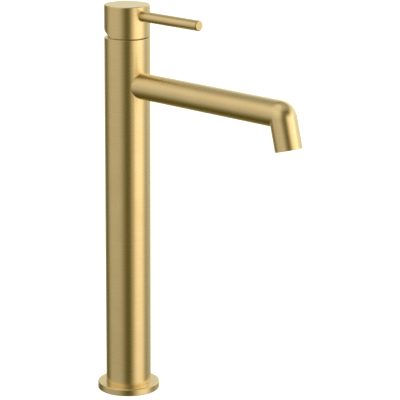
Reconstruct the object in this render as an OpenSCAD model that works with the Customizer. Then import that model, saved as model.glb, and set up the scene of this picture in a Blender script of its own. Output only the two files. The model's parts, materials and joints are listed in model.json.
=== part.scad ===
// Tall single-lever mixer tap for a countertop basin.
// Millimetres. Origin on the column's axis in the plane that it stands on, +Z up,
// spout and lever towards -Y, hot side towards -X.

/* [Column] */
// Outside diameter of the column and of the handle cap
column_d = 40; // [38:1:42]
// Wall thickness of the column tube
column_wall = 2.5; // [2.3:0.1:2.7]
// Height from the standing plane to the top of the handle
total_h = 348; // [300:1:400]
// Diameter of the foot flange
flange_d = 55; // [53:1:60]
// Thickness of the foot flange
flange_h = 6; // [5:0.5:8]

/* [Spout] */
// Outside diameter of the spout tube
spout_d = 22.8; // [22.6:0.1:24]
// Wall thickness of the spout tube
spout_wall = 2.6; // [2.4:0.1:2.8]
// Depth of the spout's axis below the column's rim
spout_drop = 40.9; // [40:0.5:60]
// Horizontal distance from the column's axis to the middle of the outlet
spout_reach = 191.3; // [120:1:220]
// Length of the nozzle's axis, from the corner to the outlet
nozzle_l = 29.3; // [27:1:50]
// Lean of the nozzle away from the column, in degrees from upright
nozzle_tilt = 14.8; // [8:1:25]
// Bend radius of the tube's axis at the elbow
elbow_r = 4; // [3:0.5:6]

/* [Handle] */
// Height of the handle cap
cap_h = 27.7; // [27:0.5:32]
// Gap between the column's rim and the cap
cap_gap = 0.7; // [0.6:0.1:1]
// Diameter of the lever rod
lever_d = 9; // [8:0.5:10]
// Horizontal distance from the column's axis to the lever's tip
lever_reach = 88.3; // [60:1:120]
// Depth of the lever's axis below the top of the cap
lever_drop = 8.4; // [8:0.1:9]
// Highest lift of the lever, in degrees
lift_max = 25; // [20:1:25]

/* [Connections] */
// Distance between the hot and the cold inlet
inlet_spacing = 17; // [16.6:0.2:17.4]
// Wall diameter of the inlet holes, for an M10x1 hose end
inlet_d = 9; // [8.5:0.5:9]
// Depth of the inlet holes
inlet_depth = 12; // [8:1:14]
// Distance between the two fixing stud holes
stud_spacing = 24; // [22:1:26]
// Wall diameter of the stud holes, for M6 studs
stud_d = 5; // [4:0.5:5]
// Depth of the stud holes
stud_depth = 16; // [10:1:20]

/* [Hidden] */
$fn = 96;

// Colours
GOLD = "#c6a468";
BRASS = "#b8985a";
COPPER = "#b5714a";
STEEL = "#b9bcc0";
RUBBER = "#202022";
WHITE = "#e9e9e6";
GREY = "#6c6f73";
CERAMIC = "#f4f1ea";
RED = "#b22222";

// Clearances
fit = 0.05;      // radial room of pieces assembled into each other
loose = 0.1;     // end room of the same pieces
eps = 1;         // how far a cutter runs past the surface that it cuts
bevel = 0.3;     // bevel on turned edges
top_bevel = 0.5; // bevel round the top of the flange and of the cap
runout = 0.5;    // plain length at each end of a thread

// Heights
column_r = column_d / 2;
bore_r = column_r - column_wall;
rim_z = total_h - cap_h - cap_gap;
cap_z = rim_z + cap_gap;
column_z = flange_h / 2;
spout_z = rim_z - spout_drop;
lever_z = total_h - lever_drop;

// Foot
plug_r = bore_r - fit;
plug_top = 38;
pipe_x = inlet_spacing / 2;
pipe_y = -1;
pipe_r = 5;
pipe_wall = 1;
socket_r = pipe_r + loose;
socket_l = 12;
upper_socket_l = 10.4;
pipe_ring_r = 0.52;
gasket_in = flange_d / 2 - 5.5;
gasket_out = flange_d / 2 - 2;
gasket_h = 1.5;
foot_thread = [10, 24];
thread_pitch = 1.5;
thread_depth = 0.4;

// Valve housing
housing_r = bore_r - 0.2;
housing_top = rim_z - 3.5;
seat_z = rim_z - 27.5;
housing_z = spout_z - 19.1;
cart_r = 14;
cart_neck_r = 12.2;
shoulder_z = rim_z - 11;
nut_r = 14.8;
nut_collar_r = 14.4;
nut_in = cart_neck_r + 0.3;
chamber_r = 5;
chamber_end = -9;
feed_x = pipe_x + 1;
feed_y = -3;
feed_r = 2.3;
outlet_y = 6;
outlet_r = 2.6;

// Spout and the nipple that carries it, measured outwards from the column's axis
spout_r = spout_d / 2;
waterway_r = spout_r - spout_wall;
turn = 90 - nozzle_tilt;
corner_s = spout_reach - nozzle_l * sin(nozzle_tilt);
tangent_l = elbow_r * tan(turn / 2);
bend_s = corner_s - tangent_l;
root_s = column_r / 2;
straight_nozzle = nozzle_l - tangent_l;
nipple_r = waterway_r - fit;
nipple_end_r = nipple_r - 1.15;
nipple_bore_r = 5.5;
nipple_tip = 9.1;
nipple_shoulder = 14.5;
nipple_l = 24;
nipple_rings = [25, 30];
ring_r = 0.68;
ring_slot = 1.8;
grub_s = 35;
grub_r = 2;
grub_bite = 1;

// Aerator, measured up from the outlet along the nozzle's axis
aerator_r = 9.25;
aerator_recess = 0.8;
aerator_h = 11;
aerator_in = 7.6;
aerator_seat = 12.6;
screen_low = aerator_recess + 0.7;
screen_h = 1;
mesh_pitch = 1.5;
mesh_hole_r = 0.72;
mesh_rings = 4;

// Cartridge, heights above the housing's seat
base_h = 4.5;
base_top = seat_z + base_h;
chamber_in = 11;
disc_r = chamber_in - 0.2;
disc_h = 2.5;
film = 0.02;
fixed_top = base_top + disc_h;
moving_top = fixed_top + disc_h;
port_x = 6.2;
port_y = -3.2;
port_r = 2.2;
mix_r = 6.2;
mix_y = 4;
mix_depth = 1.2;
seal_margin = 0.3;
seal_h = 1.2;
top_seal_h = 1;
lip_r = 10.2;
shell_top = rim_z + 0.8;

// Rotor, stem and carrier
pivot_z = rim_z - 5;
ball_drop = 9;
ball_r = 2.5;
slide_max = ball_drop * sin(lift_max);
carrier_r = 8.7;
carrier_y = slide_max / 2;
rotor_r = chamber_in - 0.1;
rotor_z = rim_z - 12;
rotor_top = rim_z - 0.4;
pin_r = 1.5;
stem_w = 7;
stem_top = lever_z + 3.4;
rail_in = 4.5;
rail_out = 6;
rail_h = 1.5;

// Bonnet and cap
neck_r = bore_r - 0.3;
dome_r = norm([neck_r, rim_z - pivot_z]);
dome_wall = 1.2;
dome_hole_r = 12.2;
collar_top = rim_z + 2.5;
cap_in_r = dome_r - 0.3;
cap_ceiling = pivot_z + dome_r + 0.5;
pocket_r = 6.5;
pocket_top = stem_top + 0.5;
lever_r = lever_d / 2;
stud_r = lever_r - 2;
stud_end = 9;
lever_seat = 17;
chamfer_start = 1.8;
chamfer_angle = lift_max + 1.4;
screw_z = lever_z - 1.6;
screw_r = 2.5;
set_screw_l = 10;
plug_seat = 17.5;
plug_hole_r = screw_r + 0.5;

// ---- shapes that repeat ----

// A tube standing on z0
module tube(r_out, r_in, z0, z1) {
    difference() {
        translate([0, 0, z0]) cylinder(r = r_out, h = z1 - z0);
        translate([0, 0, z0 - eps]) cylinder(r = r_in, h = z1 - z0 + 2 * eps);
    }
}

// A round hole along Z from z0 to z1, at x, y
module drill(x, y, r, z0, z1) {
    translate([x, y, z0]) cylinder(r = r, h = z1 - z0);
}

// A rubber ring round the Z axis at height z
module o_ring(r, section_r, z) {
    translate([0, 0, z]) rotate_extrude() translate([r, 0]) circle(r = section_r);
}

// The zigzag edge of a thread, from z0 up to z1, between a root and a crest radius
function thread_edge(root, crest, z0, z1) =
    let (count = floor((z1 - z0) / thread_pitch))
    [for (i = [0 : count - 1], top = [0, 1])
        [top ? crest : root, z0 + (i + top / 2) * thread_pitch]];

// A rod with a thread on it: plain at radius r below z0 and above z1
module threaded_rod(r, z_low, z0, z1, z_high) {
    edge = thread_edge(r - thread_depth, r, z0, z1);
    rotate_extrude()
        polygon(concat([[0, z_low], [r, z_low], [r, z0 - fit]], edge, [[r, z1], [r, z_high], [0, z_high]]));
}

// The cutter for a tapped hole: plain at radius r, with the thread cut outwards of it
module tapped_cutter(r, z_low, z0, z1, z_high) {
    edge = thread_edge(r + thread_depth, r, z0, z1);
    rotate_extrude()
        polygon(concat([[0, z_low], [r, z_low], [r, z0 - fit]], edge, [[r, z1], [r, z_high], [0, z_high]]));
}

// Turns +Z to point out along the spout, with the origin on the column's axis at height z
module outwards(z) {
    translate([0, 0, z]) rotate([90, 0, 0]) children();
}

// Places children at both inlets
module at_pipes() {
    for (side = [-1, 1])
        translate([side * pipe_x, pipe_y, 0]) children();
}

// Moves children to the outlet, with +Z running back up the nozzle
module at_outlet() {
    translate([0, -spout_reach, spout_z - nozzle_l * cos(nozzle_tilt)])
        rotate([-nozzle_tilt, 0, 0]) children();
}

// ---- foot and column ----

module column() {
    color(GOLD) difference() {
        rotate_extrude() polygon([
            [bore_r, column_z], [column_r, column_z], [column_r, rim_z - bevel],
            [column_r - bevel, rim_z], [bore_r, rim_z]
        ]);
        tapped_cutter(bore_r, column_z - eps, foot_thread[0], foot_thread[1], foot_thread[1] + eps);
        outwards(spout_z) drill(0, 0, waterway_r + fit, bore_r - 4, column_r + eps);
    }
}

module base_flange() {
    r = flange_d / 2;
    color(GOLD) rotate_extrude() polygon([
        [plug_r + 2 * fit, 0], [gasket_in, 0], [gasket_in, gasket_h], [gasket_out, gasket_h], [gasket_out, 0],
        [r - bevel, 0], [r, bevel], [r, flange_h - top_bevel], [r - top_bevel, flange_h],
        [column_r + fit, flange_h], [column_r + fit, column_z], [plug_r + 2 * fit, column_z]
    ]);
}

module base_gasket() {
    color(RUBBER) tube(gasket_out - fit, gasket_in + fit, 0, gasket_h - fit);
}

module foot_plug() {
    color(BRASS) difference() {
        threaded_rod(plug_r, 0, foot_thread[0], foot_thread[1], plug_top);
        at_pipes() {
            drill(0, 0, inlet_d / 2, -eps, inlet_depth);
            drill(0, 0, pipe_r - pipe_wall, inlet_depth - eps, plug_top);
            drill(0, 0, socket_r, plug_top - socket_l, plug_top + eps);
            o_ring_slot(plug_top - socket_l / 2);
        }
        for (side = [-1, 1])
            drill(0, side * stud_spacing / 2, stud_d / 2, -eps, stud_depth);
    }
}

// The slot in a pipe socket that holds its rubber ring
module o_ring_slot(z) {
    drill(0, 0, socket_r + 1, z - ring_r, z + ring_r);
}

module riser_pipe(side) {
    color(COPPER) translate([side * pipe_x, pipe_y, 0])
        tube(pipe_r, pipe_r - pipe_wall, plug_top - socket_l + loose, housing_z + upper_socket_l - loose);
}

module hot_riser_pipe() { riser_pipe(-1); }

module cold_riser_pipe() { riser_pipe(1); }

module riser_orings() {
    color(RUBBER) at_pipes()
        for (z = [plug_top - socket_l / 2, housing_z + socket_l / 2])
            o_ring(pipe_r + pipe_ring_r + film, pipe_ring_r, z);
}

// ---- valve housing ----

module valve_housing() {
    color(BRASS) difference() {
        drill(0, 0, housing_r, housing_z, housing_top);
        drill(0, 0, cart_r + fit, seat_z, housing_top + eps);
        tapped_cutter(nut_r + fit, shoulder_z, shoulder_z + runout, housing_top - runout, housing_top + eps);
        at_pipes() {
            drill(0, 0, socket_r, housing_z - eps, housing_z + upper_socket_l);
            o_ring_slot(housing_z + socket_l / 2);
        }
        for (side = [-1, 1])
            drill(side * feed_x, feed_y, feed_r, housing_z + upper_socket_l - eps, seat_z + eps);
        drill(0, outlet_y, outlet_r, spout_z, seat_z + eps);
        outwards(spout_z) {
            drill(0, 0, nipple_r + fit, nipple_shoulder, housing_r + eps);
            drill(0, 0, nipple_end_r + fit, nipple_tip - loose, nipple_shoulder + eps);
            drill(0, 0, chamber_r, chamber_end, nipple_tip);
        }
    }
}

// ---- spout ----

// The spout's outline at radius r: straight run, elbow and nozzle, from distance s0 outwards.
// The elbow is rounded outside and meets in a crease inside.
module spout_form(r, s0, nozzle_end) {
    bend_z = spout_z - elbow_r;
    rotate([0, 0, -90]) {
        translate([s0, 0, spout_z]) rotate([0, 90, 0]) cylinder(r = r, h = bend_s - s0);
        translate([bend_s, 0, bend_z]) rotate([90, -nozzle_tilt, 0])
            rotate_extrude(angle = turn) intersection() {
                translate([elbow_r, 0]) circle(r = r);
                translate([0, -r]) square([elbow_r + r, 2 * r]);
            }
        translate([bend_s, 0, bend_z]) rotate([0, -nozzle_tilt, 0])
            translate([elbow_r, 0, -nozzle_end]) cylinder(r = r, h = nozzle_end);
    }
}

module spout() {
    color(GOLD) difference() {
        spout_form(spout_r, root_s, straight_nozzle);
        spout_form(waterway_r, root_s - eps, straight_nozzle + eps);
        drill(0, 0, column_r + film, spout_z - 2 * spout_r, spout_z + 2 * spout_r);
        at_outlet() drill(0, 0, aerator_r, -eps, aerator_seat);
        outwards(spout_z) translate([0, 0, grub_s]) rotate([90, 0, 0])
            drill(0, 0, grub_r, waterway_r - eps, spout_r + eps);
    }
}

module spout_nipple() {
    color(BRASS) outwards(spout_z) difference() {
        union() {
            drill(0, 0, nipple_r, nipple_shoulder, nipple_shoulder + nipple_l);
            threaded_rod(nipple_end_r, nipple_tip, nipple_tip + runout, nipple_shoulder - bevel,
                nipple_shoulder + eps);
        }
        drill(0, 0, nipple_bore_r, nipple_tip - eps, nipple_shoulder + nipple_l + eps);
        for (s = nipple_rings)
            tube(nipple_r + eps, nipple_r - 2 * ring_r, s - ring_slot / 2, s + ring_slot / 2);
        translate([0, 0, grub_s]) rotate([90, 0, 0])
            drill(0, 0, grub_r, nipple_r - grub_bite, nipple_r + eps);
    }
}

module nipple_orings() {
    color(RUBBER) outwards(spout_z)
        for (s = nipple_rings)
            o_ring(nipple_r - ring_r + film / 2, ring_r - film / 2, s);
}

// A screw along Z with a hexagon socket in its upper end
module grub_screw(r, l) {
    socket_depth = 2;
    color(STEEL) difference() {
        threaded_rod(r, 0, runout, l - runout, l);
        translate([0, 0, l - socket_depth]) cylinder(r = r / 2, h = socket_depth + eps, $fn = 6);
    }
}

module spout_grub_screw() {
    outwards(spout_z) translate([0, 0, grub_s]) rotate([90, 0, 0])
        translate([0, 0, nipple_r - grub_bite + film]) grub_screw(grub_r - fit, spout_wall + 0.4);
}

// ---- aerator ----

module aerator_housing() {
    notch = 2.4;
    notch_depth = 1.1;
    color(GREY) at_outlet() difference() {
        threaded_rod(aerator_r - fit, aerator_recess, 2.5, aerator_h - 1, aerator_h);
        drill(0, 0, aerator_in, aerator_recess - eps, aerator_h + eps);
        for (a = [0, 90])
            rotate([0, 0, a]) translate([-aerator_r, -notch / 2, aerator_recess - eps])
                cube([2 * aerator_r, notch, eps + notch_depth]);
    }
}

// Centres of a hexagonal grid of holes, ring by ring
function hex_grid(rings, pitch) =
    [for (q = [-rings : rings], s = [max(-rings, -q - rings) : min(rings, -q + rings)])
        [pitch * (q + s / 2), pitch * s * sqrt(3) / 2]];

module aerator_screen() {
    color(WHITE) at_outlet() translate([0, 0, screen_low]) linear_extrude(height = screen_h) difference() {
        circle(r = aerator_in - fit);
        for (p = hex_grid(mesh_rings, mesh_pitch))
            translate(p) circle(r = mesh_hole_r, $fn = 6);
    }
}

// Block that mixes air in: hollowed below, pointed above, with a ring of holes
module aerator_core() {
    low = screen_low + screen_h + loose;
    r = aerator_in - fit;
    rim_w = 1.5;
    hollow = 3;
    tip_r = 3;
    holes_at = 4.6;
    hole_r = 1;
    color(WHITE) at_outlet() difference() {
        rotate_extrude() polygon([
            [0, low + hollow], [r - rim_w, low], [r, low],
            [r, aerator_h], [tip_r, aerator_h], [0, aerator_h + 1]
        ]);
        for (a = [0 : 45 : 315])
            rotate([0, 0, a]) drill(holes_at, 0, hole_r, low - eps, aerator_h + 1 + eps);
    }
}

module aerator_seal() {
    color(RUBBER) at_outlet() tube(aerator_r - fit, aerator_in, aerator_h + fit, aerator_seat - fit);
}

// ---- cartridge, fixed pieces ----

module retaining_nut() {
    slot_w = 4;
    slot_depth = 1.5;
    low = shoulder_z + loose;
    color(BRASS) difference() {
        union() {
            threaded_rod(nut_r, low, low + runout, housing_top - loose - runout, housing_top);
            drill(0, 0, nut_collar_r, housing_top - eps, collar_top);
        }
        drill(0, 0, nut_in, shoulder_z, collar_top + eps);
        for (a = [0, 90])
            rotate([0, 0, a]) translate([-nut_r, -slot_w / 2, collar_top - slot_depth])
                cube([2 * nut_r, slot_w, slot_depth + eps]);
    }
}

// Domed cover round the pivot, so that the cap can turn and tilt over it
module bonnet() {
    skirt_in = nut_collar_r + fit;
    skirt_out = skirt_in + 1.4;
    low = housing_top - pivot_z + loose;
    neck_top = rim_z - pivot_z;
    color(GOLD) translate([0, 0, pivot_z]) rotate_extrude() {
        intersection() {
            difference() {
                circle(r = dome_r);
                circle(r = dome_r - dome_wall);
            }
            translate([dome_hole_r, neck_top]) square([dome_r, dome_r]);
        }
        polygon([
            [skirt_in, low], [neck_r, low], [neck_r, neck_top + film / 2],
            [skirt_out, neck_top + film / 2], [skirt_out, neck_top + 2], [skirt_in, neck_top + 2]
        ]);
    }
}

module cartridge_shell() {
    lip_z = rotor_top + loose;
    color(GREY) rotate_extrude() polygon([
        [chamber_in, base_top], [cart_r, base_top], [cart_r, shoulder_z], [cart_neck_r, shoulder_z],
        [cart_neck_r, shell_top], [lip_r, shell_top], [lip_r, lip_z], [chamber_in, lip_z]
    ]);
}

// Each inlet steps inwards from the housing's feed to the disc's port half-way up the base
module cartridge_base() {
    link_z = seat_z + 1.4;
    link_h = 1.6;
    link_w = 2.4;
    color(WHITE) difference() {
        drill(0, 0, cart_r, seat_z, base_top);
        for (side = [-1, 1]) {
            drill(side * feed_x, feed_y, feed_r, seat_z - eps, link_z + link_h);
            drill(side * port_x, port_y, port_r, link_z, base_top + eps);
            translate([side * (feed_x + port_x) / 2, (feed_y + port_y) / 2, link_z + link_h / 2])
                cube([feed_x - port_x, link_w, link_h], center = true);
        }
        drill(0, outlet_y, outlet_r, seat_z - eps, base_top + eps);
        base_seals(seat_z, seal_h, 0);
        upper_seals(base_top - top_seal_h, top_seal_h, 0);
    }
}

// A flat seal ring round a hole of radius r at x, y, less room on each side
module flat_seal(x, y, r, width, z, h, room) {
    translate([x, y, 0]) tube(r + seal_margin + width - room, r + seal_margin + room, z, z + h);
}

// Seal rings round the three holes in the base's underside
module base_seals(z, h, room) {
    for (side = [-1, 1])
        flat_seal(side * feed_x, feed_y, feed_r, 0.9, z, h, room);
    flat_seal(0, outlet_y, outlet_r, 1.1, z, h, room);
}

// Seal rings between the base and the fixed disc
module upper_seals(z, h, room) {
    for (side = [-1, 1])
        flat_seal(side * port_x, port_y, port_r, 0.8, z, h, room);
    flat_seal(0, outlet_y, outlet_r, 0.9, z, h, room);
}

module cartridge_seals() { color(RUBBER) base_seals(seat_z, seal_h - fit, film); }

module disc_seals() { color(RUBBER) upper_seals(base_top - top_seal_h + fit, top_seal_h - fit, film); }

module fixed_disc() {
    color(CERAMIC) difference() {
        drill(0, 0, disc_r, base_top, fixed_top);
        for (side = [-1, 1])
            drill(side * port_x, port_y, port_r, base_top - eps, fixed_top + eps);
        drill(0, outlet_y, outlet_r, base_top - eps, fixed_top + eps);
    }
}

// Notched ring on top of the cartridge, turned to set how hot the mix may run
module hot_stop_ring() {
    low = shell_top + fit;
    ring_h = 1.5;
    notch_r = 0.7;
    color(RED) difference() {
        tube(cart_neck_r, lip_r + 0.2, low, low + ring_h);
        for (a = [30 : 30 : 330])
            rotate([0, 0, a]) drill(cart_neck_r, 0, notch_r, low - eps, low + ring_h + eps);
    }
}

// ---- cartridge, moving pieces ----

// Round guide that turns in the shell; two rails below steer the disc carrier
module rotor() {
    rail_l = 8;
    slot = [stem_w + 0.4, 15.2, rotor_top - rotor_z + 2 * eps];
    color(WHITE) difference() {
        union() {
            drill(0, 0, rotor_r, rotor_z, rotor_top);
            for (side = [-1, 1])
                translate([side * (rail_in + rail_out) / 2, 0, rotor_z - rail_h / 2 + loose])
                    cube([rail_out - rail_in, rail_l, rail_h + 2 * loose], center = true);
        }
        translate([0, 0, (rotor_z + rotor_top) / 2]) cube(slot, center = true);
        translate([0, 0, pivot_z]) rotate([0, 90, 0])
            cylinder(r = pin_r + film, h = 2 * rotor_r + 2 * eps, center = true);
    }
}

module stem_pin() {
    color(STEEL) translate([0, 0, pivot_z]) rotate([0, 90, 0])
        cylinder(r = pin_r, h = 2 * rotor_r - 1, center = true);
}

module disc_carrier() {
    top = rotor_z - 0.3;
    pocket_room = 0.15;
    pocket_z = pivot_z - ball_drop - ball_r - 0.7;
    groove = [rail_out - rail_in + 2 * loose, 2 * carrier_r, 2 * rail_h];
    color(GREY) difference() {
        drill(0, carrier_y, carrier_r, moving_top, top);
        drill(0, 0, ball_r + pocket_room, pocket_z, top + eps);
        for (side = [-1, 1])
            translate([side * (rail_in + rail_out) / 2, carrier_y, top]) cube(groove, center = true);
    }
}

module moving_disc() {
    color(CERAMIC) difference() {
        drill(0, carrier_y, carrier_r, fixed_top + film, moving_top);
        drill(0, mix_y, mix_r, fixed_top - eps, fixed_top + mix_depth);
    }
}

// Square stem on the pin, with a ball below that pushes the disc carrier
module stem() {
    shank_z = pivot_z - 4.5;
    finger_r = 1.8;
    color(STEEL) difference() {
        union() {
            translate([-stem_w / 2, -stem_w / 2, shank_z]) cube([stem_w, stem_w, stem_top - shank_z]);
            drill(0, 0, finger_r, pivot_z - ball_drop, shank_z + eps);
            translate([0, 0, pivot_z - ball_drop]) sphere(r = ball_r);
        }
        translate([0, 0, pivot_z]) rotate([0, 90, 0])
            cylinder(r = pin_r + fit, h = stem_w + 2 * eps, center = true);
    }
}

// ---- handle ----

// Sleeve between the square stem and the round pocket of the cap
module stem_adapter() {
    hole = stem_w + 2 * fit;
    low = cap_ceiling + loose;
    color(WHITE) difference() {
        drill(0, 0, pocket_r - fit, low, stem_top);
        translate([-hole / 2, -hole / 2, low - eps]) cube([hole, hole, stem_top - low + 2 * eps]);
        outwards(screw_z) drill(0, 0, screw_r, -pocket_r - eps, 0);
    }
}

module handle_cap() {
    color(GOLD) difference() {
        rotate_extrude() polygon([
            [cap_in_r, cap_z], [column_r - bevel, cap_z], [column_r, cap_z + bevel],
            [column_r, total_h - top_bevel], [column_r - top_bevel, total_h], [0, total_h],
            [0, pocket_top], [pocket_r, pocket_top], [pocket_r, cap_ceiling], [cap_in_r, cap_ceiling]
        ]);
        // sloping cut behind, which lets the cap tip back without touching the rim
        translate([-column_d, -chamfer_start, cap_z]) rotate([chamfer_angle, 0, 0])
            translate([0, -column_d, -column_d]) cube([2 * column_d, 3 * column_d, column_d]);
        outwards(lever_z) {
            tapped_cutter(stud_r, stud_end - loose, stud_end + 1, lever_seat - 1, column_r + eps);
            drill(0, 0, lever_r + fit, lever_seat, column_r + eps);
        }
        outwards(screw_z) {
            drill(0, 0, screw_r, -column_r - eps, 0);
            drill(0, 0, plug_hole_r, -column_r - eps, -plug_seat);
        }
    }
}

module lever_rod() {
    tip = 0.7;
    color(GOLD) outwards(lever_z) {
        threaded_rod(stud_r - fit, stud_end, stud_end + 1, lever_seat - 1, lever_seat + 1);
        rotate_extrude() polygon([
            [0, lever_seat + loose], [lever_r, lever_seat + loose],
            [lever_r, lever_reach - tip], [lever_r - tip, lever_reach], [0, lever_reach]
        ]);
    }
}

module handle_set_screw() {
    translate([0, stem_w / 2 + loose, screw_z]) rotate([-90, 0, 0]) grub_screw(screw_r - fit, set_screw_l);
}

// Plug over the set screw, its face rounded like the cap
module set_screw_plug() {
    color(GREY) intersection() {
        outwards(screw_z) drill(0, 0, plug_hole_r - fit, -column_r, -plug_seat - loose);
        drill(0, 0, column_r - loose, screw_z - plug_seat, screw_z + plug_seat);
    }
}

column();
base_flange();
base_gasket();
foot_plug();
hot_riser_pipe();
cold_riser_pipe();
riser_orings();
valve_housing();
spout();
spout_nipple();
nipple_orings();
spout_grub_screw();
aerator_housing();
aerator_screen();
aerator_core();
aerator_seal();
retaining_nut();
bonnet();
hot_stop_ring();
cartridge_shell();
cartridge_base();
cartridge_seals();
disc_seals();
fixed_disc();
rotor();
stem_pin();
disc_carrier();
moving_disc();
stem();
stem_adapter();
handle_cap();
lever_rod();
handle_set_screw();
set_screw_plug();
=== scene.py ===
"""Looks for the tall basin mixer tap: satin brushed gold outside, plain works inside."""
import json
import math

import bpy
from mathutils import Matrix, Vector


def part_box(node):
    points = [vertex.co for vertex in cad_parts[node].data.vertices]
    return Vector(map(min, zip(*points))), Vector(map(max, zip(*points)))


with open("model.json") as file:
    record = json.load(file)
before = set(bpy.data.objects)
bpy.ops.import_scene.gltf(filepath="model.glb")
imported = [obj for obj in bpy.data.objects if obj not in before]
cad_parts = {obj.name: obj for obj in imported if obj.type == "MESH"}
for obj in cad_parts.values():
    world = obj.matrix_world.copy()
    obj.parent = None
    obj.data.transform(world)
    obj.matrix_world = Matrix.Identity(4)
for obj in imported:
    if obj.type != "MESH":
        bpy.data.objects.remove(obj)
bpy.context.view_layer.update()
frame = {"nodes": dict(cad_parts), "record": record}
nodes = frame["nodes"]

# ---- camera: at the photograph's viewing angle ----

CAMERA_AZIMUTH = math.radians(-42.9)    # round the column; 0 looks along +Y
CAMERA_DISTANCE = 1.722                 # from the column's axis
CAMERA_HEIGHT = 0.6136
AIM_RIGHT = math.radians(2.12)          # the aim passes to the right of the column
AIM_DOWN = math.radians(14.33)
ROLL = math.radians(0.28)
LENS_MM = 180.9
SENSOR_MM = 36


def add_camera():
    camera = bpy.data.objects.new("camera", bpy.data.cameras.new("camera"))
    bpy.context.scene.collection.objects.link(camera)
    camera.data.lens = LENS_MM
    camera.data.sensor_width = SENSOR_MM
    camera.data.clip_end = 20
    place = Vector((math.sin(CAMERA_AZIMUTH), -math.cos(CAMERA_AZIMUTH), 0)) * CAMERA_DISTANCE
    place.z = CAMERA_HEIGHT
    turn = Matrix.Rotation(CAMERA_AZIMUTH - AIM_RIGHT, 4, "Z")
    tilt = Matrix.Rotation(math.pi / 2 - AIM_DOWN, 4, "X")
    camera.matrix_world = Matrix.Translation(place) @ turn @ tilt @ Matrix.Rotation(ROLL, 4, "Z")
    bpy.context.scene.camera = camera


# ---- node helpers ----

def new_material(name):
    material = bpy.data.materials.new(name)
    material.use_nodes = True
    tree = material.node_tree
    return material, tree, tree.nodes["Principled BSDF"]


def add_node(tree, kind, inputs=(), **settings):
    """Makes a node; inputs gives each named or numbered socket a value or a link."""
    node = tree.nodes.new(kind)
    for key, value in settings.items():
        setattr(node, key, value)
    for socket, value in dict(inputs).items():
        if isinstance(value, bpy.types.NodeSocket):
            tree.links.new(value, node.inputs[socket])
        else:
            node.inputs[socket].default_value = value
    return node


def maths(tree, operation, *values):
    return add_node(tree, "ShaderNodeMath", dict(enumerate(values)), operation=operation).outputs[0]


def spread(tree, value, low, high, to_low, to_high, kind="LINEAR"):
    """Value carried from the range low..high to to_low..to_high, held at the ends."""
    ends = {"Value": value, "From Min": low, "From Max": high, "To Min": to_low, "To Max": to_high}
    return add_node(tree, "ShaderNodeMapRange", ends, interpolation_type=kind).outputs[0]


# Places of the Mix node's sockets
MIX_FACTOR = 0
MIX_NUMBERS = (2, 3)
MIX_COLORS = (6, 7)
MIXED_COLOR = 2


def mix_colors(tree, factor, first, second):
    """Each of first and second is a colour or the output of another mix."""
    inputs = {MIX_FACTOR: factor}
    for socket, value in zip(MIX_COLORS, (first, second)):
        inputs[socket] = (*value, 1) if isinstance(value, tuple) else value
    return add_node(tree, "ShaderNodeMix", inputs, data_type="RGBA").outputs[MIXED_COLOR]


# ---- studio ----

# Soft panels round the tap. Directions in degrees from the camera's side, positive to its right,
# then height above the horizon: middle, half size and softness of each, and the light's colour
PANELS = [
    (57, 30, 42, 0, 25, 36, (1.35, 1.15, 0.86)),     # warm key panel, to the right
    (122, 46, 46, 20, 24, 40, (0.90, 0.88, 0.79)),   # pale wall beyond it
    (152, 41, 50, -26, 34, 40, (0.34, 0.33, 0.28)),  # and what the table returns from it
    (170, 30, 30, -68, 16, 24, (0.28, 0.26, 0.22)),  # the table nearer the tap
    (-68, 44, 42, 12, 42, 40, (0.45, 0.41, 0.35)),   # large panel to the left
    (-75, 68, 60, 64, 56, 60, (0.35, 0.31, 0.25)),   # ceiling over it
    (0, 184, 2, 90, 32, 30, (0.42, 0.39, 0.33)),     # light right overhead
    (186, 27, 28, 12, 30, 30, (0.51, 0.53, 0.50)),   # wall behind
]
AMBIENT = (0.095, 0.08, 0.005)

FLOOR_HALF = 6
FLOOR_Z = -0.0002    # just under the tap's foot
FLOOR_SHADE = 0.9
FLOOR_GLOW = 0.75    # brings it near the white of the page behind


def add_world():
    world = bpy.data.worlds.new("studio")
    bpy.context.scene.world = world
    world.use_nodes = True
    tree = world.node_tree
    tree.nodes.clear()
    direction = add_node(tree, "ShaderNodeTexCoord").outputs["Generated"]
    turning = {"Vector": direction, "Angle": -CAMERA_AZIMUTH}
    turned = add_node(tree, "ShaderNodeVectorRotate", turning, rotation_type="Z_AXIS").outputs[0]
    right, away, up = add_node(tree, "ShaderNodeSeparateXYZ", {0: turned}).outputs
    toward = maths(tree, "MULTIPLY", away, -1.0)
    around = maths(tree, "ARCTAN2", right, toward)
    height = maths(tree, "ARCSINE", up)
    light = list(AMBIENT)
    for *window, color in PANELS:
        cover = soft_window(tree, around, height, window)
        light = [maths(tree, "MULTIPLY_ADD", cover, tint, so_far)
                 for tint, so_far in zip(color, light)]
    lit = add_node(tree, "ShaderNodeCombineColor", enumerate(light)).outputs[0]
    studio = add_node(tree, "ShaderNodeBackground", {"Color": lit}).outputs[0]
    page = add_node(tree, "ShaderNodeBackground", {"Color": (1, 1, 1, 1)}).outputs[0]
    seen = add_node(tree, "ShaderNodeLightPath").outputs["Is Camera Ray"]
    mixed = add_node(tree, "ShaderNodeMixShader", {0: seen, 1: studio, 2: page}).outputs[0]
    add_node(tree, "ShaderNodeOutputWorld", {"Surface": mixed})


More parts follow.
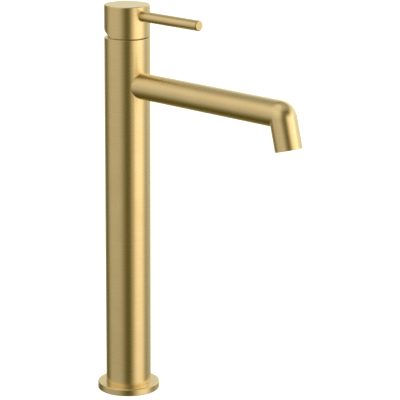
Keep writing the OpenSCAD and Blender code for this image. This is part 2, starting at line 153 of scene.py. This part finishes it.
def soft_window(tree, around, height, window):
    """1 inside the window, 0 outside it, with soft edges."""
    azimuth, half_w, soft_w, elevation, half_h, soft_h = (math.radians(v) for v in window)
    aside = maths(tree, "SUBTRACT", around, azimuth)
    aside = maths(tree, "ABSOLUTE", maths(tree, "WRAP", aside, math.pi, -math.pi))
    above = maths(tree, "ABSOLUTE", maths(tree, "SUBTRACT", height, elevation))
    wide = spread(tree, aside, half_w - soft_w / 2, half_w + soft_w / 2, 1.0, 0.0, "SMOOTHSTEP")
    tall = spread(tree, above, half_h - soft_h / 2, half_h + soft_h / 2, 1.0, 0.0, "SMOOTHSTEP")
    return maths(tree, "MULTIPLY", wide, tall)


def add_floor():
    """Plain white floor, which the tap neither mirrors nor takes light from."""
    half = FLOOR_HALF
    corners = [(-half, -half, 0), (half, -half, 0), (half, half, 0), (-half, half, 0)]
    mesh = bpy.data.meshes.new("floor")
    mesh.from_pydata(corners, [], [(0, 1, 2, 3)])
    floor = bpy.data.objects.new("floor", mesh)
    bpy.context.scene.collection.objects.link(floor)
    floor.location.z = FLOOR_Z
    material, tree, shader = new_material("floor_white")
    shader.inputs["Base Color"].default_value = (FLOOR_SHADE, FLOOR_SHADE, FLOOR_SHADE, 1)
    shader.inputs["Roughness"].default_value = 0.9
    shader.inputs["Emission Color"].default_value = (1, 1, 1, 1)
    shader.inputs["Emission Strength"].default_value = FLOOR_GLOW
    mesh.materials.append(material)
    floor.visible_glossy = False
    floor.visible_diffuse = False


# ---- materials ----

def place_on_part(tree):
    return add_node(tree, "ShaderNodeTexCoord").outputs["Object"]


def noise(tree, per_metre, detail=3.0):
    """Cloudy noise fixed to the part."""
    settings = {"Vector": place_on_part(tree), "Scale": per_metre, "Detail": detail}
    return add_node(tree, "ShaderNodeTexNoise", settings).outputs[0]


def lines(tree, along, per_metre, detail):
    """Noise that changes only with one distance: lines left by turning, brushing or drawing."""
    settings = {"W": along, "Scale": per_metre, "Detail": detail, "Roughness": 0.7}
    return add_node(tree, "ShaderNodeTexNoise", settings, noise_dimensions="1D").outputs[0]


def vectors(tree, operation, first, second):
    return add_node(tree, "ShaderNodeVectorMath", {0: first, 1: second}, operation=operation)


def along_axis(tree, centre, axis):
    """Distance along an axis plus distance from it, so that lines run round the sides of a
    turned piece and in rings over its flat ends."""
    local = vectors(tree, "SUBTRACT", place_on_part(tree), centre).outputs["Vector"]
    along = vectors(tree, "DOT_PRODUCT", local, axis).outputs["Value"]
    aside = vectors(tree, "CROSS_PRODUCT", local, axis).outputs["Vector"]
    away = add_node(tree, "ShaderNodeVectorMath", {0: aside}, operation="LENGTH").outputs["Value"]
    return maths(tree, "ADD", along, away)


# Cosine between a face and its rounded normal where an edge starts, and where it is full
EDGE_STARTS = 0.99
EDGE_FULL = 0.93
EDGE_SAMPLES = 6


def round_edges(tree, radius):
    """Normals that round the edges off, and a mask that is 1 along them."""
    bevel = add_node(tree, "ShaderNodeBevel", {"Radius": radius}, samples=EDGE_SAMPLES)
    rounded = bevel.outputs[0]
    face = add_node(tree, "ShaderNodeNewGeometry").outputs["Normal"]
    alike = vectors(tree, "DOT_PRODUCT", rounded, face).outputs["Value"]
    return rounded, spread(tree, alike, EDGE_STARTS, EDGE_FULL, 0.0, 1.0)


def relief(tree, shader, normal, *layers):
    """Stacks bumps, each a height and its depth in metres, on the given normal."""
    for height, depth in layers:
        settings = {"Height": height, "Distance": depth, "Normal": normal}
        normal = add_node(tree, "ShaderNodeBump", settings).outputs[0]
    tree.links.new(normal, shader.inputs["Normal"])


# Depths of the lines in metres
FINE_LINE_DEPTH = 0.000002
BROAD_LINE_DEPTH = 0.0000015
MAKING_LINE_DEPTH = 0.000008

GOLD = (0.88, 0.745, 0.48)
GOLD_DEEP = (0.84, 0.695, 0.43)    # in the clouds and the broader lines
# Lighter gold for the edges: partly wear, partly a painted highlight along every edge
GOLD_EDGE_WEAR_AND_HIGHLIGHT = (0.93, 0.82, 0.60)     # where edges are rubbed
GOLD_ROUGHNESS = 0.27

# How far roughness swings along the lines or over the grain
GOLD_SWING = 0.03
METAL_SWING = 0.04
MOULDED_SWING = 0.05

# What is added to roughness
RUBBED_ROUGHER = -0.06
TARNISH_ROUGHER = 0.12
MOTTLE_ROUGHER = 0.1


def satin_gold(name, distance_of):
    """Satin gold plating over brushed brass, whose lines follow the distance from distance_of."""
    material, tree, shader = new_material(name)
    along = distance_of(tree)
    fine = lines(tree, along, per_metre=1800.0, detail=3.0)
    broad = lines(tree, along, per_metre=330.0, detail=2.0)
    cloud = noise(tree, per_metre=40.0)
    rounded, edge = round_edges(tree, radius=0.0005)
    clouded = spread(tree, cloud, 0.35, 0.65, 0.0, 0.6)
    lined = spread(tree, broad, 0.35, 0.65, 0.0, 0.25)
    plated = mix_colors(tree, maths(tree, "ADD", clouded, lined), GOLD, GOLD_DEEP)
    # Edges turn lighter gold in patches: partly rubbed wear, partly a painted edge highlight
    edge_wear_highlight_strength = spread(tree, noise(tree, per_metre=160.0), 0.4, 0.6, 0.3, 0.8)
    edge_wear_highlight_mask = maths(tree, "MULTIPLY", edge, edge_wear_highlight_strength)
    tree.links.new(mix_colors(tree, edge_wear_highlight_mask, plated, GOLD_EDGE_WEAR_AND_HIGHLIGHT), shader.inputs["Base Color"])
    shader.inputs["Metallic"].default_value = 1.0
    grain = spread(tree, fine, 0.3, 0.7, GOLD_ROUGHNESS - GOLD_SWING, GOLD_ROUGHNESS + GOLD_SWING)
    handled = maths(tree, "ADD", grain, spread(tree, cloud, 0.4, 0.7, -0.01, 0.02))
    rough = maths(tree, "MULTIPLY_ADD", edge_wear_highlight_mask, RUBBED_ROUGHER, handled)
    tree.links.new(rough, shader.inputs["Roughness"])
    relief(tree, shader, rounded, (fine, FINE_LINE_DEPTH), (broad, BROAD_LINE_DEPTH))
    return material


# Colour, colour of the tarnish, roughness
METALS = {
    "plain_brass": ((0.62, 0.44, 0.20), (0.40, 0.26, 0.12), 0.33),
    "copper_tube": ((0.74, 0.37, 0.23), (0.42, 0.19, 0.12), 0.30),
    "steel": ((0.57, 0.58, 0.60), (0.42, 0.42, 0.42), 0.28),
}


def bare_metal(name, color, tarnish, roughness):
    """Bare metal inside the tap: lines from its making, and darker tarnish in patches."""
    material, tree, shader = new_material(name)
    made = lines(tree, round_column(tree), per_metre=1400.0, detail=3.0)
    patches = spread(tree, noise(tree, per_metre=120.0, detail=4.0), 0.45, 0.7, 0.0, 0.8)
    rounded, edge = round_edges(tree, radius=0.0003)
    # Edges mixed towards a brighter copy of the metal: partly wear, partly a painted highlight
    metal_edge_wear_highlight = tuple(min(1.0, 1.2 * c) for c in color)
    edge_wear_highlight_strength = maths(tree, "MULTIPLY", edge, 0.6)
    shade = mix_colors(tree, edge_wear_highlight_strength, mix_colors(tree, patches, color, tarnish), metal_edge_wear_highlight)
    tree.links.new(shade, shader.inputs["Base Color"])
    shader.inputs["Metallic"].default_value = 1.0
    low, high = roughness - METAL_SWING, roughness + METAL_SWING
    grain = spread(tree, made, 0.3, 0.7, low, high)
    rough = maths(tree, "MULTIPLY_ADD", patches, TARNISH_ROUGHER, grain)
    tree.links.new(rough, shader.inputs["Roughness"])
    relief(tree, shader, rounded, (made, MAKING_LINE_DEPTH))
    return material


# Colour, colour where it pales, roughness, depth of the grain in metres, grains per metre
MOULDED = {
    "black_rubber": ((0.018, 0.018, 0.02), (0.05, 0.05, 0.052), 0.62, 0.00002, 2600.0),
    "white_plastic": ((0.80, 0.80, 0.76), (0.70, 0.69, 0.65), 0.42, 0.000012, 2600.0),
    "grey_plastic": ((0.20, 0.21, 0.22), (0.28, 0.29, 0.30), 0.45, 0.000015, 2600.0),
    "red_plastic": ((0.55, 0.035, 0.025), (0.62, 0.10, 0.08), 0.40, 0.000012, 2600.0),
    "white_ceramic": ((0.86, 0.85, 0.81), (0.78, 0.77, 0.74), 0.14, 0.000003, 5000.0),
}


def moulded(name, color, pale, roughness, grain_depth, grains):
    """Moulded plastic, rubber or pressed ceramic: fine grain, faint mottling, paler edges."""
    material, tree, shader = new_material(name)
    grain = noise(tree, per_metre=grains, detail=2.0)
    mottle = spread(tree, noise(tree, per_metre=90.0, detail=4.0), 0.35, 0.7, 0.0, 0.5)
    rounded, edge = round_edges(tree, radius=0.0003)
    faded = maths(tree, "MULTIPLY_ADD", edge, 0.4, mottle)
    tree.links.new(mix_colors(tree, faded, color, pale), shader.inputs["Base Color"])
    low, high = roughness - MOULDED_SWING, roughness + MOULDED_SWING
    matt = spread(tree, grain, 0.3, 0.7, low, high)
    rough = maths(tree, "MULTIPLY_ADD", mottle, MOTTLE_ROUGHER, matt)
    tree.links.new(rough, shader.inputs["Roughness"])
    relief(tree, shader, rounded, (grain, grain_depth))
    return material


# ---- where each piece's lines run ----

UP = Vector((0, 0, 1))
OUTWARDS = Vector((0, -1, 0))
NOZZLE_TILT = math.radians(14.8)    # of the nozzle from straight down, as in the CAD


def middle(node):
    low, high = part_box(node)
    return (Vector(low) + Vector(high)) / 2


def round_column(tree):
    return along_axis(tree, (0, 0, 0), UP)


def round_lever(tree):
    return along_axis(tree, (0, 0, middle("lever_rod").z), OUTWARDS)


def round_spout(tree):
    """Lines round the straight tube as far as the elbow's mitre, then round the nozzle."""
    outlet = middle("aerator_seal")
    tube = middle("spout_nipple")
    fall = Vector((0, -math.sin(NOZZLE_TILT), -math.cos(NOZZLE_TILT)))
    corner = outlet + fall * ((tube.z - outlet.z) / fall.z)
    local = vectors(tree, "SUBTRACT", place_on_part(tree), corner).outputs["Vector"]
    side = vectors(tree, "DOT_PRODUCT", local, OUTWARDS - fall).outputs["Value"]
    inputs = {MIX_FACTOR: maths(tree, "GREATER_THAN", side, 0.0)}
    for socket, axis in zip(MIX_NUMBERS, (OUTWARDS, fall)):
        inputs[socket] = along_axis(tree, corner, axis)
    return add_node(tree, "ShaderNodeMix", inputs).outputs[0]


def paint():
    made = {"satin_gold": satin_gold("satin_gold", round_column)}
    made.update({name: bare_metal(name, *finish) for name, finish in METALS.items()})
    made.update({name: moulded(name, *finish) for name, finish in MOULDED.items()})
    own = {
        "lever_rod": satin_gold("satin_gold_lever", round_lever),
        "spout": satin_gold("satin_gold_spout", round_spout),
    }
    for part in frame["record"]["subparts"]:
        mesh = nodes[part["node"]].data
        mesh.materials.clear()
        mesh.materials.append(own.get(part["node"], made[part["material_slot"]]))


add_camera()
add_world()
add_floor()
paint()
bpy.context.scene.view_settings.view_transform = "Standard"
